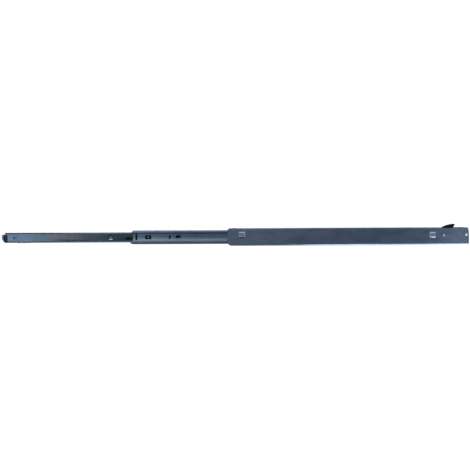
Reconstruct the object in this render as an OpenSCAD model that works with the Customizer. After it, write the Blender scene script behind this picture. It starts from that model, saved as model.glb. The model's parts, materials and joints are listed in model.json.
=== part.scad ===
// Cabinet drawer slide: a full-extension, three-member ball-bearing slide that hooks into
// a steel cabinet. It is modelled fully drawn out.
// X runs along the slide towards the back of the cabinet, Y through its thickness from the
// cabinet side (Y = 0) to the drawer side, and Z up. The origin is on the mounting face of
// the cabinet member, at its front end and at half its height.

/* [Lengths] */
// Length of the cabinet member
cabinet_len = 610; // [600:1:620]
// Length of the middle member
middle_len = 500; // [495:1:503]
// Length of the drawer member
drawer_len = 520; // [515:1:522]
// How far the middle member runs out of the cabinet member
middle_out = 247; // [244:1:250]
// How far the drawer member runs out of the middle member
drawer_out = 314.7; // [312:0.1:318]

/* [Section] */
// Height of the cabinet member
cabinet_h = 45; // [45:0.1:45.4]
// Thickness of the steel sheet
sheet = 1.2; // [1.1:0.05:1.2]
// Diameter of the balls between the cabinet and the middle member
outer_ball_d = 4.64; // [4.6:0.01:4.66]
// Diameter of the balls between the middle and the drawer member
inner_ball_d = 3.9; // [3.8:0.01:3.94]
// Play between a ball and its race
ball_play = 0.08; // [0.06:0.01:0.1]

/* [Balls] */
// Balls in each outer row
outer_ball_count = 10; // [4:1:10]
// Balls in each inner row
inner_ball_count = 9; // [4:1:9]

/* [Holes] */
// Diameter of the screw holes
screw_d = 4.3; // [3.5:0.1:4.5]
// Distance from the drawer member's front end to its screw hole
drawer_hole_x = 469; // [460:1:472]

/* [Hidden] */

// Colours of the finishes
dark_zinc = [0.25, 0.30, 0.37];
blue_zinc = [0.36, 0.45, 0.53];
bare_steel = [0.62, 0.64, 0.68];
grey_zinc = [0.50, 0.55, 0.61];
black_plastic = [0.05, 0.06, 0.08];
navy_rubber = [0.10, 0.17, 0.25];

round_fn = 32;
half_sheet = sheet / 2;
beyond = 5;  // how far a cutter runs past what it cuts

// Front ends of the middle and the drawer member with the slide drawn out
middle_x = -middle_out;
drawer_x = middle_x - drawer_out;

// Ball rows: where their centres lie
outer_ball_r = outer_ball_d / 2;
inner_ball_r = inner_ball_d / 2;
outer_race_r = outer_ball_r + ball_play + half_sheet;
inner_race_r = inner_ball_r + ball_play + half_sheet;
cabinet_crown_z = cabinet_h / 2 - half_sheet;
outer_row = [9.0, cabinet_crown_z - outer_race_r];
middle_crown_z = outer_row[1] - outer_race_r + 0.38;

// Depths, along Y, of the middles of the sheets
middle_rail_y = 2.9;
middle_web_y = 3.9;
inner_row = [middle_rail_y + inner_race_r, middle_crown_z - inner_race_r];
drawer_web_y = 12.1;
cage_sheet = 0.5;
outer_cage_y = 1.75;
inner_cage_y = middle_rail_y + 1.15;
drawer_face_y = drawer_web_y + half_sheet;
middle_web_top = 8.8;  // half the height of the middle member's recessed web
step_h = 1.2;  // height over which a recessed web steps out to its rail

// Cages, measured from the front end of the member that they start in
outer_cage_x = 21;
outer_cage_len = 226;
inner_cage_start = 21;
inner_cage_len = 179.5;
inner_cage_web = 139;  // length of the inner cage's solid rear part
ball_margin = 6;  // end of a cage to its first ball

// Hooks pressed out of the webs: [front end, top, width and height of the scoop, height of
// the opening below it, how far the opening is set back from the front end, its width]
front_hook = [27.6, 13.2, 17, 13.7, 2.6, 3, 11];
rear_hook = [510, 10.6, 16.4, 12.4, 1.8, 6.3, 9.6];
drawer_hook = [260, 5.4, 10.6, 9.6, 0.9, 0.9, 8.8];  // its front end is from the member's

// Screw and tooling holes of the cabinet member
cabinet_hole = [15, 3.2];
tooling_hole = [25, -6.4];
tooling_hole_d = 2.5;
rear_slot = [603.6, 3.2];
rear_slot_size = [3.6, 5.6];

// Rear latch
latch_pivot = [547, 2];
latch_y = [4.5, 8.0];
latch_pin = [561.5, 13.5];
rivet_head_r = 3.1;
latch_shank_r = 2.5;

// Front plate, riveted to the inside of the drawer member's web
plate_y = [10.6, 11.5];
plate_rivet_x = 21;
plate_rivet_r = 2.3;

// Release lever and the stop tab that it catches
lever_pivot_u = 46;  // from the front end of the middle member
lever_y = [5.6, 11.2];
lever_shank_r = 1.5;
lever_head_r = [1.6, 2.3];  // at its face and at the lever
running_play = 0.06;
stop_tab_u = 12.7;
stop_tab_y = 10.3;

// ---- 2-D helpers ----

// Points on an arc from angle a0 to angle a1
function arc(centre, r, a0, a1, steps = 6) =
    [for (i = [0:steps]) let (a = a0 + (a1 - a0) * i / steps)
        centre + r * [cos(a), sin(a)]];

// A smooth step from point p to point q that starts and ends along the second axis
function ogee(p, q, steps = 5) =
    [for (i = [0:steps]) let (s = i / steps)
        [p[0] + (q[0] - p[0]) * (1 - cos(180 * s)) / 2, p[1] + (q[1] - p[1]) * s]];

// A half section, from its lip to its web, joined to its mirror image below
function both_halves(half) =
    concat(half, [for (i = [len(half) - 1:-1:0]) [half[i][0], -half[i][1]]]);

function unit(v) = v / norm(v);
function left_of(v) = [-v[1], v[0]];
// Offset direction at point i of a path, long enough to keep the sheet's thickness at a bend
function mitre(path, i) =
    let (n = len(path),
         a = i == 0 ? unit(path[1] - path[0]) : unit(path[i] - path[i - 1]),
         b = i == n - 1 ? a : unit(path[i + 1] - path[i]),
         m = unit(left_of(a) + left_of(b)))
    m / (m * left_of(a));

// A strip of sheet that follows a path
module ribbon(path, t) {
    last = len(path) - 1;
    polygon(concat(
        [for (i = [0:last]) path[i] + mitre(path, i) * t / 2],
        [for (i = [last:-1:0]) path[i] - mitre(path, i) * t / 2]));
}

// ---- 3-D helpers ----

// Extrudes a section drawn in (Y, Z) along X
module along_x(x, length) {
    translate([x, 0, 0]) rotate([90, 0, 90]) linear_extrude(length) children();
}

// Extrudes an outline drawn in (X, Z) from depth y0 to depth y1
module along_y(y0, y1) {
    translate([0, y1, 0]) rotate([90, 0, 0]) linear_extrude(y1 - y0) children();
}

// A round bar along Y
module pin_y(at, r, y0, y1) {
    translate([at[0], y0, at[1]]) rotate([-90, 0, 0]) cylinder(h = y1 - y0, r = r, $fn = round_fn);
}

// Outline of an upright slot with round ends
module upright_slot(size) {
    straight = size[1] - size[0];
    square([size[0], straight], center = true);
    for (end = [-1, 1])
        translate([0, end * straight / 2]) circle(d = size[0], $fn = round_fn);
}

// A box given by two opposite corners
module block(from, to) {
    translate(from) cube(to - from);
}

// Repeats its children above and below the centre line
module upper_and_lower() {
    children();
    mirror([0, 0, 1]) children();
}

// ---- Sections, as paths in (Y, Z) along the middle of the sheet ----

cabinet_bend_r = 3.0;
cabinet_half = concat(
    arc(outer_row, outer_race_r, -12, 90, 8),
    arc([half_sheet + cabinet_bend_r, cabinet_crown_z - cabinet_bend_r], cabinet_bend_r, 90, 180));

middle_half = concat(
    arc(outer_row, outer_race_r, -35, -105),
    arc(inner_row, inner_race_r, 65, 180, 12),
    ogee([middle_rail_y, middle_web_top + step_h], [middle_web_y, middle_web_top]));

drawer_bend_r = 2.0;
drawer_crown_z = 12.1;
drawer_half = concat(
    arc(inner_row, inner_race_r, -104, -50),
    [[8.1, drawer_crown_z - 0.25], [9.0, drawer_crown_z]],
    arc([drawer_web_y - drawer_bend_r, drawer_crown_z - drawer_bend_r], drawer_bend_r, 90, 0));

outer_cage_half = concat(
    [[11.0, outer_row[1]]],
    arc([outer_cage_y + 0.8, outer_row[1] - 0.8], 0.8, 90, 180, 4));

inner_cage_top = inner_row[1];
inner_cage_half = concat(
    [[8.4, inner_cage_top]],
    arc([inner_cage_y + 0.8, inner_cage_top - 0.8], 0.8, 90, 180, 4),
    ogee([inner_cage_y, middle_web_top + step_h + 0.6], [inner_cage_y + 1, middle_web_top + 0.6]));

// ---- Hooks ----

// A hook is a scoop pressed out of the web, closed above and at its sides and open below,
// where its lip flares. Here the web's outer face is at y = 0, and the scoop stands out to -Y.
hook_reach = 2.6;
hook_slope = [2.4, 3.0];  // how far the side walls and the top wall run while they rise

// Solid frustum of a scoop, drawn in by inset: 0 is its outside, the sheet its inside
module scoop_body(hook, inset) {
    width = hook[2];
    foot = inset * 0.26;  // the sloping walls' inset at the web's inner face
    reach = hook_reach - inset;
    top = hook[1];
    bottom = top - hook[3];
    back = sheet + (inset > 0 ? 1 : 0);
    under = bottom - (inset > 0 ? 1 : 0);
    rise = hook_slope + [inset * 0.35, inset * 0.33];
    intersection() {
        along_x(hook[0], width) polygon([[back, top - foot], [inset, top - foot],
            [-reach, top - rise[1]], [-reach, bottom + 2.2], [-reach - 0.8, bottom],
            [-reach - 0.8, under], [back, under]]);
        translate([hook[0], 0, bottom - beyond]) linear_extrude(hook[3] + beyond)
            polygon([[foot, back], [foot, inset], [rise[0], -reach], [rise[0], -beyond],
                [width - rise[0], -beyond], [width - rise[0], -reach],
                [width - foot, inset], [width - foot, back]]);
    }
}

// What the scoop takes out of the web: its hollow and the opening below its lip
module hook_cut(hook) {
    bottom = hook[1] - hook[3];
    opening_x = hook[0] + hook[5];
    scoop_body(hook, sheet);
    block([opening_x, -1, bottom - hook[4]], [opening_x + hook[6], sheet + 1, bottom]);
}

module hook_scoop(hook) {
    difference() {
        scoop_body(hook, 0);
        scoop_body(hook, sheet);
    }
}

// Turns a hook to face the drawer, on the drawer member's web
module on_drawer_face() {
    translate([drawer_x, drawer_face_y, 0]) mirror([0, 1, 0]) children();
}

// ---- Cabinet member ----

cage_stop_x = [19.3, 20.5];
stop_notch_x = [14.5, 20.5];

// The press-cut outline of the ends, in (X, Z), taken away at every depth
module cabinet_end_cuts() {
    half_h = cabinet_h / 2 + 1;
    along_y(-beyond, 15) {
        polygon([[-1, 18], [0, 18], [5, half_h], [-1, half_h]]);
        polygon([[-1, -17], [0, -17], [2.5, -19], [9, -half_h], [-1, -half_h]]);
        polygon([[606.5, half_h], [607.4, 20.5], [608.8, 16], [609.6, 9], [cabinet_len, 0],
            [cabinet_len + 1, 0], [cabinet_len + 1, half_h]]);
        polygon([[cabinet_len, -20], [cabinet_len + 1, -20], [cabinet_len + 1, -half_h],
            [cabinet_len - 2, -half_h]]);
    }
}

// The opening in the upper edge for the latch, with the web cut lower beside it
module latch_opening() {
    slot_x = [537.5, 600];
    edge_x = [541, 598];
    slot_y = [4.2, 8.3];
    block([slot_x[0], slot_y[0], 19], [slot_x[1], slot_y[1], cabinet_h]);
    block([edge_x[0], -beyond, 20.3], [edge_x[1], slot_y[1], cabinet_h]);
}

module cabinet_channel() {
    color(dark_zinc) {
        difference() {
            along_x(0, cabinet_len) ribbon(both_halves(cabinet_half), sheet);
            cabinet_end_cuts();
            latch_opening();
            hook_cut(front_hook);
            hook_cut(rear_hook);
            pin_y(cabinet_hole, screw_d / 2, -1, 2);
            // shallow countersink on the cabinet side
            translate([cabinet_hole[0], -0.5, cabinet_hole[1]]) rotate([-90, 0, 0])
                cylinder(h = 1, r1 = screw_d / 2 + 2, r2 = screw_d / 2, $fn = round_fn);
            pin_y(tooling_hole, tooling_hole_d / 2, -1, 2);
            pin_y(latch_pivot, rivet_head_r + 0.03, -1, 2);
            along_y(-1, 2) translate(rear_slot) upright_slot(rear_slot_size);
            block([stop_notch_x[0], -1, 17.8], [stop_notch_x[1], 2.8, cabinet_h]);
        }
        hook_scoop(front_hook);
        hook_scoop(rear_hook);
        // ear that the outer cage runs up against, bent in from the notch in the upper edge
        block([cage_stop_x[0], 2.8 - half_sheet, 17.8], [cage_stop_x[1], 7.6, cabinet_crown_z]);
    }
}

// Rubber block that the middle member runs up against when the drawer shuts
module rear_bumper() {
    block_x = middle_len + 0.3;
    color(black_plastic)
        difference() {
            block([block_x, sheet, -8], [block_x + 8, 4.3, 8]);
            for (z = [-4, 0, 4])
                pin_y([block_x + 5, z], 0.8, sheet + 1, 5);
        }
}

// ---- Rear latch ----

module latch_rivet() {
    color(bare_steel) {
        pin_y(latch_pivot, rivet_head_r, 0, sheet);
        pin_y(latch_pivot, latch_shank_r, sheet, 8.3);
        translate([latch_pivot[0], 8.3, latch_pivot[1]]) rotate([-90, 0, 0])
            cylinder(h = 1.4, r1 = 4.2, r2 = 3.2, $fn = round_fn);
    }
}

module latch_spacer() {
    color(bare_steel)
        difference() {
            pin_y(latch_pivot, 4.2, sheet, 4.3);
            pin_y(latch_pivot, latch_shank_r + 0.03, 0, 5);
        }
}

module rear_latch() {
    tip = [572.1, 28.4];
    tip_r = 2.6;
    back_r = 70;  // the nose's upper edge is a long arc that runs into the tip's
    back_at = tip - (back_r - tip_r) * [cos(92), sin(92)];
    nose = concat(
        [[538.6, 9]],
        arc(back_at, back_r, 121, 92, 10),
        arc(tip, tip_r, 92, -25),
        [[569.6, 21.0], [564.5, 12], [555, -3.5]]);
    color(black_plastic) {
        difference() {
            along_y(latch_y[0], latch_y[1]) {
                polygon(nose);
                translate(latch_pivot) circle(8.6, $fn = round_fn);
            }
            pin_y(latch_pivot, latch_shank_r + running_play, 0, 10);
        }
        pin_y(latch_pin, 1.2, 2.4, latch_y[1]);
    }
}

// Circle of points square to a wire's direction
function wire_ring(at, along, r, sides) =
    let (side = unit(cross(along, [0.31, 0.92, 0.17])), up = cross(unit(along), side))
    [for (k = [0:sides - 1]) at + r * (side * cos(360 * k / sides) + up * sin(360 * k / sides))];

// A wire of radius r along a path in space
module wire(path, r, sides = 8) {
    n = len(path);
    rings = [for (i = [0:n - 1])
        wire_ring(path[i], path[min(i + 1, n - 1)] - path[max(i - 1, 0)], r, sides)];
    polyhedron(
        points = [for (ring = rings) each ring],
        faces = concat(
            [[for (k = [0:sides - 1]) k]],
            [[for (k = [sides - 1:-1:0]) (n - 1) * sides + k]],
            [for (i = [0:n - 2], k = [0:sides - 1]) let (m = (k + 1) % sides)
                [i * sides + k, (i + 1) * sides + k, (i + 1) * sides + m, i * sides + m]]));
}

// Torsion spring: one leg on the lower edge of the channel, one under the latch's pin
module latch_spring() {
    wire_r = 0.4;
    coil_r = 4.85;
    turns = 2.35;
    first_y = 1.7;
    pitch = 0.85;
    start = 205;
    steps = 44;
    coil = [for (i = [0:steps]) let (a = start + 360 * turns * i / steps)
        [latch_pivot[0] + coil_r * cos(a), first_y + pitch * turns * i / steps,
            latch_pivot[1] + coil_r * sin(a)]];
    last_y = first_y + pitch * turns;
    color(bare_steel)
        wire(concat([[536.5, first_y, -17.5]], coil, [[562.6, last_y, 11.6]]), wire_r);
}

// ---- Ball rows and cages ----

function outer_ball_x(i) = outer_cage_x + ball_margin
    + i * (outer_cage_len - 2 * ball_margin) / (outer_ball_count - 1);
function inner_ball_x(i) = middle_x + inner_cage_start + ball_margin
    + i * (inner_cage_len - 2 * ball_margin) / (inner_ball_count - 1);

// A row of balls; grow makes the pockets that hold them
module outer_row_balls(grow = 0) {
    for (i = [0:outer_ball_count - 1])
        translate([outer_ball_x(i), outer_row[0], outer_row[1]])
            sphere(r = outer_ball_r + grow, $fn = round_fn);
}

module inner_row_balls(grow = 0) {
    for (i = [0:inner_ball_count - 1])
        translate([inner_ball_x(i), inner_row[0], inner_row[1]])
            sphere(r = inner_ball_r + grow, $fn = round_fn);
}

pocket_play = 0.12;

module outer_cage() {
    color(black_plastic)
        difference() {
            along_x(outer_cage_x, outer_cage_len)
                ribbon(both_halves(outer_cage_half), cage_sheet);
            upper_and_lower() outer_row_balls(pocket_play);
            // lightening slots in the web
            for (i = [0:3])
                block([outer_cage_x + 22 + i * 50, 0, -5], [outer_cage_x + 50 + i * 50, 3, 5]);
        }
}

module outer_balls_upper() { color(bare_steel) outer_row_balls(); }

module outer_balls_lower() { color(bare_steel) mirror([0, 0, 1]) outer_row_balls(); }

module inner_cage() {
    x = middle_x + inner_cage_start;
    open_len = inner_cage_len - inner_cage_web;
    color(black_plastic)
        difference() {
            along_x(x, inner_cage_len) ribbon(both_halves(inner_cage_half), cage_sheet);
            upper_and_lower() inner_row_balls(pocket_play);
            // the front part is two arms that pass above and below the release lever
            block([x - 1, 0, -9.2], [x + open_len, 8, 9.2]);
        }
}

module inner_balls_upper() { color(bare_steel) inner_row_balls(); }

module inner_balls_lower() { color(bare_steel) mirror([0, 0, 1]) inner_row_balls(); }

// ---- Middle member ----

module middle_channel() {
    x = middle_x;
    half_h = 18;
    slot_u = [13.9, 19.0];
    color(dark_zinc) {
        difference() {
            along_x(x, middle_len) ribbon(both_halves(middle_half), sheet);
            translate([x, 0, 0]) along_y(0, 13) {
                // the web stands back from the ends of the rails, whose corners are cut
                polygon([[-1, -9.9], [7.6, -9.9], [7.6, 8.6], [4, 12], [4, 13.5], [9, half_h],
                    [-1, half_h]]);
                polygon([[-1, -11], [0, -11], [1.2, -14.6], [6.5, -half_h], [-1, -half_h]]);
                // slot behind the stop tab, the rivet's window and the tooling windows
                polygon([[slot_u[0], -7.1], [slot_u[1], -7.1], [slot_u[1], 8.6],
                    [slot_u[0], 8.6]]);
                polygon([[38.4, -4.8], [53.8, -4.8], [53.8, 5.1], [38.4, 5.1]]);
                polygon([[97.3, -4.5], [101.8, -4.5], [104.4, 5.3], [99.9, 5.3]]);
                polygon([[115.5, -2.6], [128.4, -2.6], [128.4, 4.9], [115.5, 4.9]]);
            }
        }
        // stop tab, bent out of the slot towards the drawer
        block([x + stop_tab_u, middle_web_y - half_sheet, 0.3],
            [x + stop_tab_u + sheet, stop_tab_y, 8.2]);
        // ears that the inner cage runs up against, and at the rear those for the outer cage
        upper_and_lower() {
            block([x + 18.8, 5.6, 13.1], [x + 20, 8.2, middle_crown_z]);
            block([x + middle_len - 3, 7.9, middle_crown_z - 0.3],
                [x + middle_len - 1.6, 10.4, 19.3]);
        }
    }
}

// ---- Drawer member ----

// Ears at the rear end that the inner cage runs up against
module drawer_cage_ears() {
    rear = drawer_x + drawer_len;
    upper_and_lower()
        block([rear - 4, 7.3, 11.6], [rear - 2.8, 8.7, 13.9]);
}

module drawer_channel() {
    x = drawer_x;
    overhang = 4.5;
    color(blue_zinc) {
        difference() {
            along_x(x - overhang, drawer_len + overhang) ribbon(both_halves(drawer_half), sheet);
            // front outline of the rails, and the web between them
            translate([x, 0, 0]) along_y(0, 14) {
                polygon([[-6, 8.5], [-3.6, 8.5], [-2.3, 10.5], [-1.6, 13.5], [-6, 13.5]]);
                polygon([[-6, -9.4], [-overhang, -9.4], [-2.6, -13.5], [-6, -13.5]]);
            }
            on_drawer_face() hook_cut(drawer_hook);
            pin_y([x + drawer_hole_x, 0], screw_d / 2, 10, 14);
            pin_y([x + plate_rivet_x, 0], plate_rivet_r + 0.03, 10, 14);
            pin_y([middle_x + lever_pivot_u, 0], lever_shank_r + 0.03, 10, 14);
        }
        on_drawer_face() hook_scoop(drawer_hook);
        drawer_cage_ears();
    }
}

// Plate that stands out in front of the drawer member and carries the bumper
module front_plate() {
    color(grey_zinc)
        difference() {
            translate([drawer_x, 0, 0]) along_y(plate_y[0], plate_y[1])
                polygon([[-9.6, 7.8], [-10.8, 6.6], [-10.8, -3.2], [-5.4, -9.8], [3.5, -9.8],
                    [5.5, -7.8], [24, -7.8], [26, -5.8], [26, 5.8], [24, 7.8]]);
            pin_y([drawer_x + plate_rivet_x, 0], plate_rivet_r + 0.03, 10, 14);
        }
}

// Tubular rivet, its hollow end rolled out over the plate
module plate_rivet() {
    at = [drawer_x + plate_rivet_x, 0];
    end_y = plate_y[0] - 0.7;
    color(dark_zinc)
        difference() {
            union() {
                pin_y(at, plate_rivet_r, plate_y[0], drawer_face_y);
                translate([at[0], end_y, at[1]]) rotate([-90, 0, 0])
                    cylinder(h = plate_y[0] - end_y, r1 = 2.5, r2 = 3.0, $fn = round_fn);
            }
            pin_y(at, 1.8, end_y - 1, 12.1);
        }
}

// Bumper on the front plate: two soft ribs on a common pad
module front_bumper() {
    x = drawer_x;
    pad_y = [8.7, plate_y[0]];
    rib_y = 4.0;
    color(navy_rubber) {
        block([x - 6, pad_y[0], -9.4], [x + 2.5, pad_y[1], 6.8]);
        block([x - 6, rib_y, -9.4], [x - 2.9, pad_y[0], 6.8]);
        block([x - 1.4, rib_y, -9.4], [x + 2.5, pad_y[0], 6.8]);
    }
}

// Spring strip under the lower rail, with two humps that hold the drawer shut
module detent_spring() {
    strip = 0.45;
    seat_z = -(drawer_crown_z + half_sheet) - strip / 2;
    hump = 1.5;
    hump_len = 13;
    steps = 8;
    path = concat(
        [[drawer_x + 29, seat_z]],
        [for (i = [0:steps]) [drawer_x + 33 + hump_len * i / steps,
            seat_z - hump * (1 - cos(360 * i / steps)) / 2]],
        [for (i = [0:steps]) [drawer_x + 47.5 + 11 * i / steps,
            seat_z - 0.6 * hump * (1 - cos(360 * i / steps)) / 2]],
        [[drawer_x + 63, seat_z]]);
    color(bare_steel) along_y(9.3, 10.6) ribbon(path, strip);
}

// Plastic lever that frees the drawer when its front arm is pressed down
module release_lever() {
    x = middle_x + lever_pivot_u;
    shoulder = stop_tab_u + sheet + 0.5 - lever_pivot_u;
    tip = -59;
    arm = [[12, -4.6], [12, 4.6], [0, 7.4], [-12, 4.0], [shoulder, 2.0], [shoulder, -0.4],
        [tip + 9, -0.4], [tip + 1, -1.6], [tip, -2.6], [tip + 1, -3.8], [tip + 9, -5.0],
        [-12, -5.4], [0, -7.4]];
    // leaf that presses on the upper rail and lifts the arm
    leaf = [[2, 6.6], [-8, 7.9], [-26, 8.9], [-31, 8.8], [-31.4, 7.9], [-26, 7.6], [-8, 6.4],
        [-2, 4.6]];
    color(black_plastic)
        difference() {
            translate([x, 0, 0]) {
                along_y(lever_y[0], lever_y[1]) polygon(arm);
                along_y(lever_y[0] + 0.6, lever_y[1] - 0.6) polygon(leaf);
            }
            pin_y([x, 0], lever_shank_r + running_play, 0, 13);
            // recess for the rivet's head
            pin_y([x, 0], lever_head_r[1] + 0.8, 4, 7.3);
        }
}

module lever_rivet() {
    at = [middle_x + lever_pivot_u, 0];
    color(bare_steel) {
        translate([at[0], 5.7, at[1]]) rotate([-90, 0, 0])
            cylinder(h = 1.3, r1 = lever_head_r[0], r2 = lever_head_r[1], $fn = round_fn);
        pin_y(at, lever_shank_r, 7.0, drawer_face_y);
    }
}

cabinet_channel();
rear_bumper();
latch_rivet();
latch_spacer();
latch_spring();
rear_latch();
outer_cage();
outer_balls_upper();
outer_balls_lower();
middle_channel();
inner_cage();
inner_balls_upper();
inner_balls_lower();
drawer_channel();
front_plate();
plate_rivet();
front_bumper();
detent_spring();
release_lever();
lever_rivet();
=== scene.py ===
"""Looks for the cabinet drawer slide: finishes, moulded parts, light and camera."""

import json
import math

import bmesh
import bpy
from mathutils import Matrix, Vector


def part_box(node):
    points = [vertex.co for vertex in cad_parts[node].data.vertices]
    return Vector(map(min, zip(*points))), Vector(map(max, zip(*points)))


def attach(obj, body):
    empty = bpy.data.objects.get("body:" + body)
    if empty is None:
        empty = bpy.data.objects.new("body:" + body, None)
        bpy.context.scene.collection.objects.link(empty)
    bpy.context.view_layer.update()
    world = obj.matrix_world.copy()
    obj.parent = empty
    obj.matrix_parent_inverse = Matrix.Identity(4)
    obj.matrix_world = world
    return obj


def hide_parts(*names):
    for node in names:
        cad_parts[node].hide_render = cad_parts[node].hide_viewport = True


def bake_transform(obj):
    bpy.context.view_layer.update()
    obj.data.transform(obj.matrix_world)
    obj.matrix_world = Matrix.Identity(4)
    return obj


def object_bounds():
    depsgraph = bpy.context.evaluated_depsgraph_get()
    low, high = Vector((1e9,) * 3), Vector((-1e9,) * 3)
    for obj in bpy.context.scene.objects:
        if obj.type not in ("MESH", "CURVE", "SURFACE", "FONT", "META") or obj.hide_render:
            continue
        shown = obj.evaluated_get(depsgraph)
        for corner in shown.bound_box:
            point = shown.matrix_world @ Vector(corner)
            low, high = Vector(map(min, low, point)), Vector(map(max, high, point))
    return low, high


MM = 0.001
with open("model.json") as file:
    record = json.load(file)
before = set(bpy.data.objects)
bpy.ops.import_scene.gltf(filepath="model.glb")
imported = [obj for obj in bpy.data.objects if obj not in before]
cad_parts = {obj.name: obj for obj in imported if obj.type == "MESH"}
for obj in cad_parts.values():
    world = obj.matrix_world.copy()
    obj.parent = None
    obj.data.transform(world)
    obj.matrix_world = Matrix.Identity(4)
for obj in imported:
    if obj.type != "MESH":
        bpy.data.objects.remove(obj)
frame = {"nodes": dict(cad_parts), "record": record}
cad_low, cad_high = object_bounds()
nodes = frame["nodes"]
scene = bpy.context.scene


# ---- Camera and light ----

def set_inputs(node, **values):
    """Sets a node's sockets by name, with _ for each space."""
    for name, value in values.items():
        node.inputs[name.replace("_", " ")].default_value = value


def make_camera():
    """A long lens square to the slide's cabinet side, with the whole slide across the frame."""
    lens, sensor = 100.0, 36.0
    share_of_width = 0.99574
    height, roll = 4.8 * MM, math.radians(-0.24)
    slide_width = cad_high.x - cad_low.x
    distance = slide_width / share_of_width * lens / sensor
    data = bpy.data.cameras.new("camera")
    data.lens, data.sensor_width = lens, sensor
    data.clip_start, data.clip_end = 0.05, 50
    camera = bpy.data.objects.new("camera", data)
    scene.collection.objects.link(camera)
    camera.location = ((cad_low.x + cad_high.x) / 2, -distance, height)
    camera.rotation_euler = (Matrix.Rotation(math.radians(90), 3, "X")
                             @ Matrix.Rotation(roll, 3, "Z")).to_euler()
    scene.camera = camera


def area_light(name, at, target, size, radiance, tint=(1, 1, 1)):
    """A soft box of the given radiance, aimed at a target."""
    data = bpy.data.lights.new(name, "AREA")
    data.shape = "RECTANGLE"
    data.size, data.size_y = size
    data.energy = radiance * math.pi * size[0] * size[1]
    data.color = tint
    light = bpy.data.objects.new(name, data)
    light.location = at
    aim = Vector(target) - Vector(at)
    light.rotation_euler = aim.to_track_quat("-Z", "Y").to_euler()
    scene.collection.objects.link(light)


def make_lights():
    """Soft boxes in front, at both sides, above, behind, and one low under the rear end."""
    warm = (1, 0.94, 0.86)
    middle = (0, 0, 0)
    area_light("left_box", (-1.6, -3.3, 0.3), (-0.5, 0, 0), (1.4, 1.4), 2.2)
    area_light("right_box", (2.2, -3.2, 0.5), (0.6, 0, 0), (0.9, 1.2), 0.45)
    area_light("left_side", (-3.2, -1.2, 0.5), (-0.3, 0, 0), (1.6, 1.8), 1.2, warm)
    area_light("right_side", (3.2, -1.2, 0.5), (0.3, 0, 0), (1.6, 1.8), 1.0, warm)
    area_light("key", (-1.0, -2.2, 2.4), middle, (2.4, 1.2), 1.2, warm)
    area_light("top", (0.2, 0.3, 2.2), middle, (3.2, 1.2), 0.9)
    area_light("under_right", (0.62, -0.2, -0.29), (0.62, -0.2, 1), (0.8, 0.5), 5.0)
    area_light("back", (0.3, 2.6, 1.3), middle, (2.4, 1.4), 3.0)


# How light the room is from straight below, 0, to straight above, 1. The metal mirrors it.
ROOM_BELOW, ROOM_ABOVE = (0.28, 0.29, 0.32), (0.50, 0.50, 0.53)
ROOM_GREYS = ((0.30, 0.14), (0.46, 0.18), (0.52, 0.40), (0.62, 0.44), (0.78, 0.46))
ROOM_BLUE = 1.04


def make_world():
    """White behind the slide. The room that the metal mirrors is dark in front of it."""
    world = bpy.data.worlds.new("studio")
    world.use_nodes = True
    tree = world.node_tree
    tree.nodes.clear()
    link = tree.links.new
    out = tree.nodes.new("ShaderNodeOutputWorld")
    coord = tree.nodes.new("ShaderNodeTexCoord")
    split = tree.nodes.new("ShaderNodeSeparateXYZ")
    link(coord.outputs["Generated"], split.inputs[0])

    height = tree.nodes.new("ShaderNodeMapRange")
    set_inputs(height, From_Min=-1)
    link(split.outputs["Z"], height.inputs["Value"])
    ramp = tree.nodes.new("ShaderNodeValToRGB")
    link(height.outputs["Result"], ramp.inputs["Fac"])
    first, last = ramp.color_ramp.elements
    first.color = (*ROOM_BELOW, 1)
    last.color = (*ROOM_ABOVE, 1)
    for position, grey in ROOM_GREYS:
        step = ramp.color_ramp.elements.new(position)
        step.color = (grey, grey, ROOM_BLUE * grey, 1)

    front = tree.nodes.new("ShaderNodeMapRange")
    front.interpolation_type = "SMOOTHSTEP"
    set_inputs(front, From_Min=-0.96, From_Max=-0.72, To_Min=0.56, To_Max=1.05)
    link(split.outputs["Y"], front.inputs["Value"])

    room = tree.nodes.new("ShaderNodeBackground")
    link(ramp.outputs["Color"], room.inputs["Color"])
    link(front.outputs["Result"], room.inputs["Strength"])
    white = tree.nodes.new("ShaderNodeBackground")
    set_inputs(white, Color=(1, 1, 1, 1), Strength=1.05)
    path = tree.nodes.new("ShaderNodeLightPath")
    mix = tree.nodes.new("ShaderNodeMixShader")
    link(path.outputs["Is Camera Ray"], mix.inputs["Fac"])
    link(room.outputs[0], mix.inputs[1])
    link(white.outputs[0], mix.inputs[2])
    link(mix.outputs[0], out.inputs[0])
    scene.world = world


def make_floor():
    """A pale, faintly glowing floor that lights the scene but isn't mirrored in the metal."""
    mesh = bpy.data.meshes.new("floor")
    bm = bmesh.new()
    bmesh.ops.create_circle(bm, cap_ends=True, segments=96, radius=14)
    bm.to_mesh(mesh)
    bm.free()
    floor = bpy.data.objects.new("floor", mesh)
    floor.location = (0, 0, -0.32)
    floor.visible_glossy = False
    scene.collection.objects.link(floor)
    material = bpy.data.materials.new("pale_floor")
    material.use_nodes = True
    set_inputs(material.node_tree.nodes["Principled BSDF"], Base_Color=(0.95, 0.95, 0.95, 1),
               Roughness=0.8, Emission_Color=(1, 1, 1, 1), Emission_Strength=0.62)
    mesh.materials.append(material)


make_camera()
make_world()
make_floor()
make_lights()
scene.view_settings.view_transform = "Standard"


# ---- Shader building blocks ----

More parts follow.
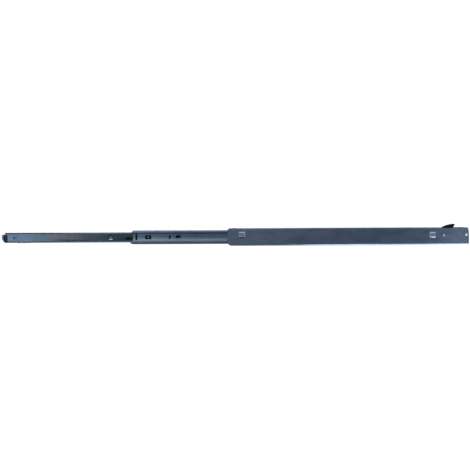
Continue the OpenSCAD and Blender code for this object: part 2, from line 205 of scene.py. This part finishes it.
class Shader:
    """A Principled material with short calls for the nodes that feed it."""

    def __init__(self, name, **fixed):
        self.material = bpy.data.materials.new(name)
        self.material.use_nodes = True
        self.nodes = self.material.node_tree.nodes
        self.link = self.material.node_tree.links.new
        self.bsdf = self.nodes["Principled BSDF"]
        self.place = self.nodes.new("ShaderNodeTexCoord").outputs["Object"]
        set_inputs(self.bsdf, **fixed)

    def feed(self, socket, output):
        """Drives one of the material's own sockets."""
        self.link(output, self.bsdf.inputs[socket])

    def noise(self, scale, stretch=(1, 1, 1), detail=3.0, rough=0.5):
        """Noise of that many cells a metre, longer where stretch is below 1."""
        mapping = self.nodes.new("ShaderNodeMapping")
        set_inputs(mapping, Scale=stretch)
        self.link(self.place, mapping.inputs["Vector"])
        node = self.nodes.new("ShaderNodeTexNoise")
        set_inputs(node, Scale=scale, Detail=detail, Roughness=rough)
        self.link(mapping.outputs[0], node.inputs["Vector"])
        return node.outputs["Fac"]

    def remap(self, value, low, high, to_low=0.0, to_high=1.0):
        """Value carried from the range low to high into the range to_low to to_high."""
        node = self.nodes.new("ShaderNodeMapRange")
        set_inputs(node, From_Min=low, From_Max=high, To_Min=to_low, To_Max=to_high)
        self.link(value, node.inputs["Value"])
        return node.outputs["Result"]

    def maths(self, kind, *values):
        """A Math node's result. Each value is a number or an output."""
        node = self.nodes.new("ShaderNodeMath")
        node.operation = kind
        for socket, value in zip(node.inputs, values):
            if isinstance(value, (int, float)):
                socket.default_value = value
            else:
                self.link(value, socket)
        return node.outputs[0]

    def times(self, a, b):
        """The product of two values, each a number or an output."""
        return self.maths("MULTIPLY", a, b)

    def mix(self, share, a, b):
        """Colour a where share is 0 and b where it is 1. Each is a colour or an output."""
        node = self.nodes.new("ShaderNodeMix")
        node.data_type = "RGBA"
        self.link(share, node.inputs[0])
        for socket, value in ((node.inputs[6], a), (node.inputs[7], b)):
            if isinstance(value, tuple):
                socket.default_value = (*value, 1)
            else:
                self.link(value, socket)
        return node.outputs[2]

    def bump(self, height, strength, distance):
        """Makes a value show as relief, at most that distance high."""
        node = self.nodes.new("ShaderNodeBump")
        set_inputs(node, Strength=strength, Distance=distance)
        self.link(height, node.inputs["Height"])
        self.feed("Normal", node.outputs[0])

    def edges(self, radius):
        """1 on sharp edges and 0 on flat ground."""
        bevel = self.nodes.new("ShaderNodeBevel")
        bevel.samples = 4
        set_inputs(bevel, Radius=radius)
        ground = self.nodes.new("ShaderNodeNewGeometry")
        dot = self.nodes.new("ShaderNodeVectorMath")
        dot.operation = "DOT_PRODUCT"
        self.link(bevel.outputs[0], dot.inputs[0])
        self.link(ground.outputs["Normal"], dot.inputs[1])
        return self.remap(dot.outputs["Value"], 0.995, 0.85)

    def hollows(self, reach):
        """1 deep in holes and narrow gaps, and 0 on open ground: the mask for painted shade."""
        node = self.nodes.new("ShaderNodeAmbientOcclusion")
        node.samples = 6
        set_inputs(node, Distance=reach)
        return self.remap(node.outputs["AO"], 0.80, 0.35)

    def along(self, axis):
        """Where the point lies along X, Y or Z."""
        split = self.nodes.new("ShaderNodeSeparateXYZ")
        self.link(self.place, split.inputs[0])
        return split.outputs[axis]

    def near(self, axis, middle, half, blur):
        """1 within half of a place along an axis, and 0 beyond it."""
        away = self.maths("ABSOLUTE", self.maths("SUBTRACT", self.along(axis), middle))
        return self.remap(away, half + blur, half - blur)

    def near_rows(self, rows):
        """1 near a row of balls, given as (y, z, reach), above or below the centre line."""
        across = self.along("Y")
        height = self.maths("ABSOLUTE", self.along("Z"))
        near = 0.0
        for row_y, row_z, reach in rows:
            dy = self.maths("SUBTRACT", across, row_y)
            dz = self.maths("SUBTRACT", height, row_z)
            square = self.maths("ADD", self.times(dy, dy), self.times(dz, dz))
            inside = self.remap(square, (1.06 * reach) ** 2, (0.96 * reach) ** 2)
            near = self.maths("MAXIMUM", near, inside)
        return near


def cloudy(s):
    """Broad patches of passivation, as noise from 0 to 1."""
    return s.noise(18, (0.35, 1, 1), detail=4, rough=0.6)


def mottled(s):
    """Small dull spots, as noise from 0 to 1."""
    return s.noise(60, (0.5, 1, 1), detail=3, rough=0.6)


# ---- Marks, painted highlights and painted shade of one member each, laid over its plating ----

def cabinet_marks(s, colour):
    """Paler stretches at both ends of the cabinet member and a darker one between them."""
    for middle, half, blur, strength, tone in (
            (60 * MM, 50 * MM, 70 * MM, 0.20, (0.45, 0.58, 0.80)),
            (345 * MM, 140 * MM, 60 * MM, 0.20, (0, 0.03, 0.08)),
            (600 * MM, 60 * MM, 35 * MM, 0.28, (0.40, 0.58, 0.86))):
        colour = s.mix(s.times(s.near("X", middle, half, blur), strength), colour, tone)
    return colour


def middle_tone_and_painted_light(s, colour):
    """A bluer web, with a painted highlight growing towards its lower edge and a painted shade
    line above it.
    """
    half_web = 8.8 * MM
    on_web = s.near("Z", 0.0, half_web, 0.4 * MM)
    colour = s.mix(s.times(on_web, 0.32), colour, (0, 0.16, 0.30))
    # Painted highlight, growing towards the web's lower edge.
    lower = s.remap(s.along("Z"), 4.0 * MM, -7.0 * MM)
    lower_painted_highlight = s.times(s.times(lower, lower), on_web)
    patchy = s.remap(cloudy(s), 0.35, 0.65, 0.45, 0.7)
    colour = s.mix(s.times(lower_painted_highlight, patchy), colour, (0.62, 0.80, 1.0))
    # Painted shade: a dark line just above the web, where the upper bend lies in shade.
    line = s.near("Z", half_web + 1.3 * MM, 1.0 * MM, 0.5 * MM)
    return s.mix(s.times(line, 0.72), colour, (0, 0.02, 0.06))


def drawer_painted_light(s, colour):
    """Painted highlights on the bends towards the rear, a painted dark reflection low on the web
    and two brownish painted reflections.
    """
    bend_z = 10.4 * MM
    # Painted highlight on both bends, growing towards the rear.
    bend_highlight = s.maths("MAXIMUM", s.near("Z", bend_z, 0.9 * MM, 0.6 * MM),
                   s.near("Z", -bend_z, 0.9 * MM, 0.6 * MM))
    rearward = s.remap(s.along("X"), -450 * MM, -320 * MM, 0.0, 0.75)
    colour = s.mix(s.times(bend_highlight, rearward), colour, (0.37, 0.56, 0.78))
    # Painted dark reflection low on the web.
    dark_painted_reflection = s.times(s.near("X", -383 * MM, 42 * MM, 14 * MM),
                    s.near("Z", 3.2 * MM - bend_z, 1.3 * MM, 1.2 * MM))
    colour = s.mix(s.times(dark_painted_reflection, 0.72), colour, (0, 0.008, 0.02))
    ragged = s.remap(mottled(s), 0.35, 0.6, 0.25, 0.9)
    # Two brownish painted reflections on the web.
    for middle, half in ((-438 * MM, 13 * MM), (-396 * MM, 20 * MM)):
        brown_painted_reflection = s.times(s.near("X", middle, half, 0.6 * half),
                        s.near("Z", 2.0 * MM, 5.0 * MM, 2.0 * MM))
        colour = s.mix(s.times(brown_painted_reflection, ragged), colour, (0.150, 0.136, 0.128))
    return colour


# ---- Finishes ----

STREAKED, BANDED = (0.02, 1, 1), (0.012, 1, 1)  # drawn out along the slide by the rolling
DRAWER_FACE = 12.7 * MM
# Near-black painted as shade deep in holes and narrow gaps.
PAINTED_HOLLOW_SHADE = (0.004, 0.005, 0.007)


def shade(colour, factor):
    """The colour made darker by a factor below 1."""
    return tuple(factor * channel for channel in colour)


def row_centre(ball_node):
    """Where a row of balls runs, as (y, z)."""
    low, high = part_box(ball_node)
    return (low[1] + high[1]) / 2, (low[2] + high[2]) / 2


OUTER_ROW = row_centre("outer_balls_upper")
INNER_ROW = row_centre("inner_balls_upper")


def plated_steel(name, dark, light, tint, rough, races=(), marks=None):
    """Zinc-plated strip: rolling streaks, cloudy passivation, scuffs, paler edges, greased races,
    painted highlights on the hooks and painted shade in holes and gaps.

    races are the rows of balls that run on it, and marks adds what only one member shows, its
    painted highlights and painted shade included.
    """
    s = Shader(name, Metallic=1.0)
    streaks = s.noise(1400, STREAKED, detail=4, rough=0.6)
    bands = s.noise(160, BANDED, detail=2)
    clouds = cloudy(s)
    tone = s.maths("ADD", s.times(streaks, 0.35), s.times(bands, 0.65))
    colour = s.mix(s.remap(tone, 0.3, 0.7), dark, light)
    colour = s.mix(s.remap(clouds, 0.5, 0.75, 0, 0.6), colour, tint)
    colour = s.mix(s.remap(mottled(s), 0.42, 0.68, 0, 0.5), colour, shade(dark, 0.75))

    scuffs = s.remap(s.noise(300, (0.15, 1, 1), detail=6, rough=0.7), 0.62, 0.72)
    worn_edge = s.times(s.edges(0.4 * MM), s.remap(clouds, 0.35, 0.6, 0.2, 0.7))
    worn = s.maths("MAXIMUM", s.times(scuffs, 0.2), worn_edge)
    colour = s.mix(worn, colour, tuple(min(1.0, 1.5 * channel + 0.06) for channel in light))

    # Only the hooks stand out of the slide's two faces. They get a painted highlight, paler than
    # the strip around them.
    cabinet_hook_highlight = s.remap(s.along("Y"), -0.4 * MM, -1.6 * MM)
    drawer_hook_highlight = s.remap(s.along("Y"), DRAWER_FACE + 0.3 * MM, DRAWER_FACE + 1.1 * MM)
    colour = s.mix(s.times(cabinet_hook_highlight, 0.42), colour, (0.58, 0.61, 0.70))
    colour = s.mix(s.times(drawer_hook_highlight, 0.75), colour, (0.62, 0.76, 0.90))

    smeared = s.remap(s.noise(260, (0.1, 1, 1), detail=3), 0.3, 0.6, 0.6, 1.0)
    grease = s.times(s.near_rows(races), smeared)
    colour = s.mix(grease, colour, shade(dark, 0.22))
    if marks:
        colour = marks(s, colour)
    off_hooks = s.maths("SUBTRACT", 1.0, s.maths("MAXIMUM", cabinet_hook_highlight, drawer_hook_highlight))
    # Painted shade: holes and narrow gaps are painted near-black, except on the hooks.
    s.feed("Base Color", s.mix(s.times(s.hollows(3.6 * MM), off_hooks), colour, PAINTED_HOLLOW_SHADE))

    uneven = s.maths("ADD", s.times(streaks, 0.6), s.times(clouds, 0.4))
    satin = s.remap(uneven, 0.25, 0.75, rough - 0.05, rough + 0.08)
    s.feed("Roughness", s.maths("MAXIMUM", satin, s.times(grease, 0.5)))
    s.bump(streaks, 0.12, 0.02 * MM)
    return s.material


def bright_steel(name, base, rough):
    """Bright-plated or bare steel with fine scratches."""
    s = Shader(name, Metallic=1.0)
    grain = s.noise(2600, (0.25, 1, 1), detail=4)
    patches = s.noise(120, detail=3)
    s.feed("Base Color", s.mix(s.remap(patches, 0.4, 0.7, 0, 0.6), base, shade(base, 0.72)))
    s.feed("Roughness", s.remap(grain, 0.3, 0.7, rough - 0.05, rough + 0.12))
    s.bump(grain, 0.2, 0.015 * MM)
    return s.material


def moulded_plastic(name, base, rough, gloss):
    """Moulded plastic or rubber with a fine spark-eroded grain and rubbed edges."""
    s = Shader(name, Metallic=0.0, Specular_IOR_Level=gloss)
    grain = s.noise(3800, detail=3)
    smears = s.noise(90, detail=4, rough=0.65)
    rubbed = tuple(1.8 * channel + 0.001 for channel in base)
    colour = s.mix(s.remap(smears, 0.45, 0.75, 0, 0.35), base, rubbed)
    s.feed("Base Color", s.mix(s.times(s.edges(0.3 * MM), 0.5), colour, rubbed))
    s.feed("Roughness", s.remap(smears, 0.3, 0.7, rough - 0.08, rough + 0.1))
    s.bump(grain, 0.35, 0.03 * MM)
    return s.material


FINISH = {
    "dark_zinc": plated_steel(
        "dark_zinc", dark=(0.15, 0.22, 0.33), light=(0.22, 0.30, 0.43), tint=(0.24, 0.26, 0.42),
        rough=0.31, races=[(*OUTER_ROW, 2.9 * MM)], marks=cabinet_marks),
    "middle_zinc": plated_steel(
        "middle_zinc", dark=(0.16, 0.225, 0.32), light=(0.24, 0.305, 0.42),
        tint=(0.28, 0.29, 0.43), rough=0.30,
        races=[(*OUTER_ROW, 2.7 * MM), (*INNER_ROW, 2.4 * MM)], marks=middle_tone_and_painted_light),
    "blue_zinc": plated_steel(
        "blue_zinc", dark=(0.068, 0.115, 0.168), light=(0.092, 0.143, 0.20),
        tint=(0.18, 0.145, 0.135), rough=0.18, races=[(*INNER_ROW, 3.6 * MM)],
        marks=drawer_painted_light),
    "grey_zinc": plated_steel(
        "grey_zinc", dark=(0.072, 0.122, 0.178), light=(0.098, 0.152, 0.21),
        tint=(0.13, 0.13, 0.14), rough=0.2),
    "bare_steel": bright_steel("bare_steel", (0.42, 0.45, 0.51), 0.42),
    "ball_steel": bright_steel("ball_steel", (0.66, 0.67, 0.70), 0.10),
    "black_plastic": moulded_plastic("black_plastic", (0.0025, 0.003, 0.004), 0.45, 0.12),
    "navy_rubber": moulded_plastic("navy_rubber", (0.008, 0.024, 0.055), 0.6, 0.25),
}


def coat(mesh, slot_name):
    """Gives a whole mesh one finish and smooth shading."""
    mesh.materials.clear()
    mesh.materials.append(FINISH[slot_name])
    for face in mesh.polygons:
        face.material_index = 0
        face.use_smooth = True


def dress_cad_node(name, slot_name):
    """Gives a CAD node its finish, smooth bends and softened sheet edges."""
    node = nodes[name]
    coat(node.data, slot_name)
    weld = node.modifiers.new("join_faces", "WELD")
    weld.merge_threshold = 0.002 * MM
    if "balls" in name:
        return
    flatten = node.modifiers.new("whole_faces", "DECIMATE")
    flatten.decimate_type = "DISSOLVE"
    flatten.angle_limit = math.radians(0.5)
    soften = node.modifiers.new("soft_edges", "BEVEL")
    soften.width = 0.12 * MM
    soften.segments = 2
    soften.limit_method = "ANGLE"
    soften.angle_limit = math.radians(40)
    soften.use_clamp_overlap = True
    normals = node.modifiers.new("flat_faces", "WEIGHTED_NORMAL")
    normals.weight = 80


for part in frame["record"]["subparts"]:
    dress_cad_node(part["node"], part["material_slot"])


# ---- Mesh building, in millimetres ----

def piece_from(bm, name):
    """A smooth-shaded object from a bmesh drawn in millimetres."""
    bmesh.ops.recalc_face_normals(bm, faces=bm.faces)
    bmesh.ops.scale(bm, vec=(MM, MM, MM), verts=bm.verts)
    mesh = bpy.data.meshes.new(name)
    bm.to_mesh(mesh)
    bm.free()
    piece = bpy.data.objects.new(name, mesh)
    scene.collection.objects.link(piece)
    return piece


def finish_piece(piece, body, slot_name, stands_for):
    """Shades, dresses and mounts a piece that takes a CAD node's place."""
    coat(piece.data, slot_name)
    piece.data.set_sharp_from_angle(angle=math.radians(38))
    if body:
        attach(piece, body)
    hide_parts(stands_for)


def bridge(bm, rings):
    """Skins consecutive rings of vertices. A ring of one vertex is the tip of a fan."""
    for low, high in zip(rings, rings[1:]):
        count = max(len(low), len(high))
        for k in range(count):
            m = (k + 1) % count
            corners = [low[k % len(low)], low[m % len(low)], high[m % len(high)],
                       high[k % len(high)]]
            bm.faces.new(list(dict.fromkeys(corners)))


def rounded(corners):
    """Outline through corners (a, b, radius), each rounded to its radius."""
    steps = 5
    points = []
    for i, (a, b, radius) in enumerate(corners):
        here = Vector((a, b))
        if radius == 0:
            points.append(here)
            continue
        before = (Vector(corners[i - 1][:2]) - here).normalized()
        after = (Vector(corners[(i + 1) % len(corners)][:2]) - here).normalized()
        half = before.angle(after) / 2
        centre = here + (before + after).normalized() * (radius / math.sin(half))
        start = here + before * (radius / math.tan(half)) - centre
        end = here + after * (radius / math.tan(half)) - centre
        first = math.atan2(start.y, start.x)
        turn = (math.atan2(end.y, end.x) - first + math.pi) % (2 * math.pi) - math.pi
        for k in range(steps + 1):
            angle = first + turn * k / steps
            points.append(centre + radius * Vector((math.cos(angle), math.sin(angle))))
    return points


def arc(centre, radius, start, end, steps):
    """Points (a, b) on an arc, angles in degrees."""
    angles = [math.radians(start + (end - start) * k / steps) for k in range(steps + 1)]
    return [(centre[0] + radius * math.cos(t), centre[1] + radius * math.sin(t))
            for t in angles]


RIM_ANGLES = (0, 22, 45, 68, 90)
SHARPEST_MITRE = 0.4


def moulding(name, outline, low, high, rim, along="Y"):
    """An outline drawn in (X, Z), extruded along Y, or in (X, Y) along Z, with round rims."""
    points = [Vector(p) for p in outline]
    double_area = sum(p.cross(q) for p, q in zip(points, points[1:] + points[:1]))
    if double_area < 0:
        points.reverse()  # so that inward is to the left of every edge
    inward = []
    for i, here in enumerate(points):
        into = (here - points[i - 1]).normalized()
        out = (points[(i + 1) % len(points)] - here).normalized()
        normal = Vector((-into.y, into.x))
        mitre = (normal + Vector((-out.y, out.x))).normalized()
        inward.append(mitre / max(SHARPEST_MITRE, mitre.dot(normal)))
    bm = bmesh.new()
    rings = []
    angles = [math.radians(t) for t in (RIM_ANGLES if rim else RIM_ANGLES[-1:])]
    levels = [(rim * (1 - math.sin(t)), low + rim * (1 - math.cos(t))) for t in angles]
    levels += [(inset, low + high - level) for inset, level in reversed(levels)]
    for inset, level in levels:
        ring = []
        for here, push in zip(points, inward):
            a, b = here + push * inset
            ring.append(bm.verts.new((a, level, b) if along == "Y" else (a, b, level)))
        rings.append(ring)
    bridge(bm, rings)
    bm.faces.new(rings[0])
    bm.faces.new(rings[-1])
    return piece_from(bm, name)


def lathe(name, profile, at, closed=False):
    """A profile of (radius, y) turned about the axis along Y through at = (x, z)."""
    sides = 48
    bm = bmesh.new()
    rings = []
    for radius, y in profile:
        angles = [2 * math.pi * k / sides for k in range(sides if radius else 1)]
        rings.append([bm.verts.new((at[0] + radius * math.cos(t), y,
                                    at[1] + radius * math.sin(t))) for t in angles])
    bridge(bm, rings + rings[:1] if closed else rings)
    return piece_from(bm, name)


def pin(at, radius, low, high, rim=0.0):
    """A round bar along Y, for adding to a moulding or for cutting a hole in it."""
    ends = [(0, low), (radius - rim, low), (radius, low + rim), (radius, high - rim),
            (radius - rim, high), (0, high)]
    return lathe("pin", list(dict.fromkeys(ends)), at)


def combine(piece, operation, *others):
    """Adds other solids to a piece, or cuts them out of it."""
    for other in others:
        boolean = piece.modifiers.new("shape", "BOOLEAN")
        boolean.operation = operation
        boolean.solver = "EXACT"
        boolean.object = other
        graph = bpy.context.evaluated_depsgraph_get()
        mesh = bpy.data.meshes.new_from_object(piece.evaluated_get(graph), depsgraph=graph)
        piece.modifiers.clear()
        piece.data = mesh
        bpy.data.objects.remove(other)


def wire(name, path, radius):
    """A round wire along a path, with its ends rounded."""
    sides = 12
    dome = ((0.0, 1.0), (0.6, 0.8), (0.9, 0.44), (1.0, 0.0))  # girth, and how far beyond the end
    points = [Vector(p) for p in path]
    across = Vector((0, 1, 0))
    bm = bmesh.new()
    rings = []
    last = len(points) - 1
    for i, here in enumerate(points):
        along = (points[min(i + 1, last)] - points[max(i - 1, 0)]).normalized()
        across = (across - along * across.dot(along)).normalized()
        side = along.cross(across)
        scales = [(1.0, 0.0)]
        if i == 0:
            scales = [(girth, -beyond) for girth, beyond in dome]
        elif i == last:
            scales = dome[::-1]
        for girth, beyond in scales:
            centre = here + along * radius * beyond
            if girth == 0:
                rings.append([bm.verts.new(centre)])
                continue
            rings.append([bm.verts.new(centre + girth * radius
                                       * (across * math.cos(t) + side * math.sin(t)))
                          for t in (2 * math.pi * k / sides for k in range(sides))])
    bridge(bm, rings)
    return piece_from(bm, name)


def low_high(node):
    """A node's box in millimetres."""
    low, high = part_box(node)
    return Vector(low) / MM, Vector(high) / MM


# ---- Moulded parts ----

def make_front_bumper():
    """Rubber pad with two upright ribs and a groove between them."""
    low, high = low_high("front_bumper")
    front_rib, rear_rib, pad = 3.1, 3.9, 1.9
    rib_round, root_round, pad_round, rim = 1.2, 0.6, 0.3, 0.6
    groove = (low.x + front_rib, high.x - rear_rib)
    floor = high.y - pad
    outline = rounded([
        (high.x, high.y, pad_round), (low.x, high.y, pad_round),
        (low.x, low.y, rib_round), (groove[0], low.y, rib_round),
        (groove[0], floor, root_round), (groove[1], floor, root_round),
        (groove[1], low.y, rib_round), (high.x, low.y, rib_round)])
    bumper = moulding("moulded_front_bumper", outline, low.z, high.z, rim, along="Z")
    finish_piece(bumper, "drawer_member", "navy_rubber", "front_bumper")


def make_rear_bumper():
    """Plastic block with three blind holes in its open side."""
    low, high = low_high("rear_bumper")
    corner, rim = 1.6, 0.6
    hole_r, hole_x, hole_heights, hole_floor = 0.8, low.x + 5, (-4, 0, 4), low.y + 1
    outline = rounded([(x, z, corner) for x, z in
                       ((low.x, low.z), (high.x, low.z), (high.x, high.z), (low.x, high.z))])
    bumper = moulding("moulded_rear_bumper", outline, low.y, high.y, rim)
    combine(bumper, "DIFFERENCE",
            *[pin((hole_x, z), hole_r, hole_floor, high.y + 1) for z in hole_heights])
    finish_piece(bumper, "cabinet_member", "black_plastic", "rear_bumper")


LATCH_PIVOT = (547.0, 2.0)


def make_rear_latch():
    """Fin with a round hub, a curved back, a shallow pocket and a pin for the spring's leg."""
    low, high = low_high("rear_latch")
    face, rim = 4.5, 0.45
    hub_r, bore_r, pocket_depth = 8.6, 2.56, 0.9
    spring_pin_at, spring_pin_r = (561.5, 13.5), 1.2
    tip, tip_r, back_r = Vector((572.1, 28.4)), 2.6, 70
    lean = math.radians(92)
    back_at = tip - (back_r - tip_r) * Vector((math.cos(lean), math.sin(lean)))
    hub = arc(LATCH_PIVOT, hub_r, -52, -172, 14)
    nose = arc(back_at, back_r, 121, 92, 14) + arc(tip, tip_r, 88, -25, 8)
    outline = rounded([(*p, 0) for p in hub] + [(538.6, 9, 3)] + [(*p, 0) for p in nose]
                      + [(569.6, 21.0, 1.0), (564.5, 12, 2.0), (555.0, -3.2, 1.2)])
    latch = moulding("moulded_rear_latch", outline, face, high.y, rim)
    combine(latch, "UNION", pin(spring_pin_at, spring_pin_r, low.y, face + 1, 0.3))
    pocket = rounded([(542.0, 13.0, 1.5), (544.5, 19.5, 2.0), (560.0, 27.0, 3.0),
                      (569.0, 28.6, 1.5), (565.5, 20.0, 2.0), (559.5, 10.5, 2.0),
                      (551.0, 12.5, 4.0)])
    combine(latch, "DIFFERENCE", pin(LATCH_PIVOT, bore_r, face - 1, high.y + 1),
            moulding("pocket", pocket, high.y - pocket_depth, high.y + 1, 0.3))
    finish_piece(latch, "latch", "black_plastic", "rear_latch")


def make_release_lever():
    """Lever with a pressing arm, grip grooves, a pocket and its own soft leaf.

    Its shapes are drawn from the rivet's axis.
    """
    high = low_high("release_lever")[1]
    rivet_low, rivet_high = low_high("lever_rivet")
    pivot_x = (rivet_low.x + rivet_high.x) / 2
    face, rim = 5.6, 0.35
    tip, shoulder = -59, -31.6
    bore_r, head_r, head_floor = 1.56, 3.1, 7.3
    pocket_depth, leaf_inset = 1.4, 0.6
    groove_wide, groove_pitch, groove_depth = 0.8, 2.1, 0.5
    groove_low, groove_high = -3.7, -1.7

    def placed(shape):
        """The rounded outline of a shape drawn from the axis."""
        return rounded([(pivot_x + x, z, radius) for x, z, radius in shape])

    def groove(start):
        """A grip groove's tool, which starts that far along the arm."""
        end = start + groove_wide
        shape = [(start, groove_low, 0), (end, groove_low, 0),
                 (end, groove_high, 0), (start, groove_high, 0)]
        return moulding("groove", placed(shape), face - 1, face + groove_depth, 0)

    body = [(12, -4.6, 1.5), (12, 4.6, 1.5), (0, 7.4, 4), (-12, 4.0, 4), (shoulder, 2.0, 0.6),
            (shoulder, -0.4, 0.6), (tip + 9, -0.4, 2), (tip + 1, -1.6, 0.6), (tip, -2.6, 0.6),
            (tip + 1, -3.8, 0.6), (tip + 9, -5.0, 2), (-12, -5.4, 4), (0, -7.4, 4)]
    leaf = [(2, 6.6, 0), (-8, 7.9, 3), (-26, 8.9, 3), (-31, 8.8, 0.3), (-31.4, 7.9, 0.3),
            (-26, 7.6, 3), (-8, 6.4, 3), (-2, 4.6, 0)]
    pocket = [(-9, 2.4, 1), (-28.5, 0.6, 0.8), (-28.5, -3.4, 0.8), (-9, -3.8, 1)]
    lever = moulding("moulded_release_lever", placed(body), face, high.y, rim)
    combine(lever, "DIFFERENCE",
            moulding("pocket", placed(pocket), face - 1, face + pocket_depth, 0.2),
            *[groove(tip + 2.4 + groove_pitch * k) for k in range(4)])
    combine(lever, "UNION",
            moulding("leaf", placed(leaf), face + leaf_inset, high.y - leaf_inset, 0.2))
    combine(lever, "DIFFERENCE", pin((pivot_x, 0), bore_r, face - 2, high.y + 1),
            pin((pivot_x, 0), head_r, face - 2, head_floor))
    finish_piece(lever, "lever", "black_plastic", "release_lever")


# ---- Rivets, spacer and spring ----

def make_latch_rivet():
    """Shouldered rivet: a dimpled head set in the web, a shank and a domed head on the latch."""
    low, high = low_high("latch_rivet")
    web_inside, shank_r, head_under = 1.2, 2.5, 8.3
    rivet = lathe("turned_latch_rivet", [
        (0, low.y + 0.55), (0.8, low.y + 0.5), (1.15, low.y + 0.12), (1.5, low.y + 0.02),
        (2.2, low.y + 0.12), (2.75, low.y + 0.3), (3.02, low.y + 0.52), (3.1, low.y + 0.8),
        (3.1, web_inside), (shank_r, web_inside), (shank_r, head_under), (4.05, head_under),
        (4.2, head_under + 0.15), (4.1, head_under + 0.5), (3.5, high.y - 0.3),
        (2.5, high.y - 0.05), (1.2, high.y), (0, high.y)], LATCH_PIVOT)
    finish_piece(rivet, "cabinet_member", "bare_steel", "latch_rivet")


def make_latch_spacer():
    """Ring with chamfered edges, which holds the latch off the web."""
    low, high = low_high("latch_spacer")
    bore_r, outer_r, bore_chamfer, chamfer = 2.53, 4.2, 0.17, 0.2
    spacer = lathe("turned_latch_spacer", [
        (bore_r + bore_chamfer, low.y), (outer_r - chamfer, low.y), (outer_r, low.y + chamfer),
        (outer_r, high.y - chamfer), (outer_r - chamfer, high.y),
        (bore_r + bore_chamfer, high.y), (bore_r, high.y - bore_chamfer),
        (bore_r, low.y + bore_chamfer)], LATCH_PIVOT, closed=True)
    finish_piece(spacer, "cabinet_member", "bare_steel", "latch_spacer")


def make_lever_rivet():
    """Rivet with a dimpled, rounded head sunk in the lever."""
    low, high = low_high("lever_rivet")
    shank_r, head_under = 1.5, 7.0
    rivet = lathe("turned_lever_rivet", [
        (0, low.y + 0.25), (0.5, low.y + 0.2), (0.75, low.y + 0.02), (1.2, low.y),
        (1.55, low.y + 0.12), (2.15, low.y + 0.95), (2.3, low.y + 1.15), (2.3, head_under),
        (shank_r, head_under), (shank_r, high.y - 0.1), (shank_r - 0.1, high.y), (0, high.y)],
        ((low.x + high.x) / 2, 0))
    finish_piece(rivet, "drawer_member", "bare_steel", "lever_rivet")


def make_plate_rivet():
    """Hollow rivet with a rolled rim, closed by its own floor at the drawer's side."""
    low, high = low_high("plate_rivet")
    hole_r, shank_r, hole_floor, rim_under = 1.8, 2.3, 12.1, 10.6
    rivet = lathe("turned_plate_rivet", [
        (0, hole_floor), (hole_r - 0.05, hole_floor), (hole_r, hole_floor - 0.1),
        (hole_r, low.y + 0.35), (1.88, low.y + 0.1), (2.15, low.y), (2.6, low.y + 0.1),
        (2.9, low.y + 0.35), (3.0, rim_under), (shank_r, rim_under),
        (shank_r, high.y - 0.1), (shank_r - 0.1, high.y), (0, high.y)],
        ((low.x + high.x) / 2, 0))
    finish_piece(rivet, "drawer_member", "dark_zinc", "plate_rivet")


def make_latch_spring():
    """Torsion spring whose legs leave the coil along its tangents.

    The lower leg lies on the cabinet member and the upper one reaches the latch's spring pin.
    """
    coil_r, wire_r, first_y, pitch = 4.85, 0.4, 1.7, 0.85
    start, end, turns = 164.35, 108.0, 2
    sweep = start - end + 360 * turns
    coil_steps, lower_steps, upper_steps = 96, 8, 12
    coil = []
    for k in range(coil_steps + 1):
        turned = sweep * k / coil_steps
        angle = math.radians(start - turned)
        coil.append(Vector((LATCH_PIVOT[0] + coil_r * math.cos(angle),
                            first_y + pitch * turned / 360,
                            LATCH_PIVOT[1] + coil_r * math.sin(angle))))
    foot, toe = Vector((536.5, first_y, -17.5)), Vector((562.5, coil[-1].y, 12.14))
    lower_leg = [foot.lerp(coil[0], k / lower_steps) for k in range(lower_steps)]
    upper_leg = [coil[-1].lerp(toe, k / upper_steps) for k in range(1, upper_steps + 1)]
    spring = wire("wound_latch_spring", lower_leg + coil + upper_leg, wire_r)
    finish_piece(spring, None, "bare_steel", "latch_spring")
    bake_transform(spring)


make_front_bumper()
make_rear_bumper()
make_rear_latch()
make_release_lever()
make_latch_rivet()
make_latch_spacer()
make_lever_rivet()
make_plate_rivet()
make_latch_spring()
